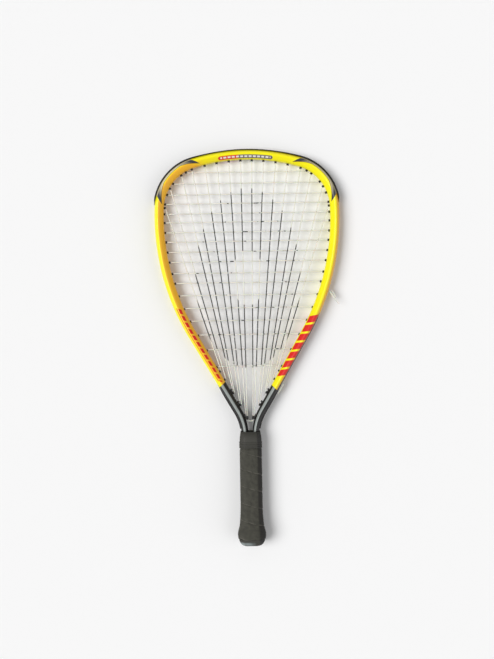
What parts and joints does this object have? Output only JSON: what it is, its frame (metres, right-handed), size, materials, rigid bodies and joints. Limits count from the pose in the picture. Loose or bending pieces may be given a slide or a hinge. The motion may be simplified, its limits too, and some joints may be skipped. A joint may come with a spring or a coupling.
{
  "type": "racquetball racket",
  "caption": "Strung racquetball racket: yellow teardrop head on two shafts, bumper guard and grommet strips, woven string bed and a short wrapped handle.",
  "frame": {"origin": "centre of the racket's bounding box, in the plane of the strings", "axes": "+X across the head, +Y from the butt to the top of the head, +Z out of the string plane"},
  "size_m": [0.2636, 0.5588, 0.0346],
  "materials": {
    "frame_lacquer": "clear-coated gloss lacquer, yellow head shading to black shafts",
    "guard_nylon": "satin moulded nylon",
    "grommet_nylon": "satin moulded nylon",
    "string_nylon": "cream, slightly translucent",
    "pallet_foam": "matte, sealed by the wrap",
    "cap_rubber": "satin",
    "staple_steel": "bright wire",
    "grip_leather": "matte, lightly tacky",
    "tape_vinyl": "satin",
    "collar_rubber": "satin, ribbed"
  },
  "bodies": {
    "root": {"frame_tube": "frame_lacquer", "bumper_guard": "guard_nylon", "side_grommet_strip_left": "guard_nylon", "side_grommet_strip_right": "guard_nylon", "throat_strip_left": "guard_nylon", "throat_strip_right": "guard_nylon", "throat_grommet_left_1": "grommet_nylon", "throat_grommet_left_2": "grommet_nylon", "throat_grommet_left_3": "grommet_nylon", "throat_grommet_left_4": "grommet_nylon", "throat_grommet_left_5": "grommet_nylon", "throat_grommet_right_1": "grommet_nylon", "throat_grommet_right_2": "grommet_nylon", "throat_grommet_right_3": "grommet_nylon", "throat_grommet_right_4": "grommet_nylon", "throat_grommet_right_5": "grommet_nylon", "main_string": "string_nylon", "upper_cross_string": "string_nylon", "lower_cross_string": "string_nylon", "handle_pallet_upper": "pallet_foam", "handle_pallet_lower": "pallet_foam", "butt_cap": "cap_rubber", "butt_cap_staple_upper": "staple_steel", "butt_cap_staple_lower": "staple_steel", "grip_wrap": "grip_leather", "finishing_tape": "tape_vinyl", "rubber_collar": "collar_rubber"}
  },
  "joints": []
}
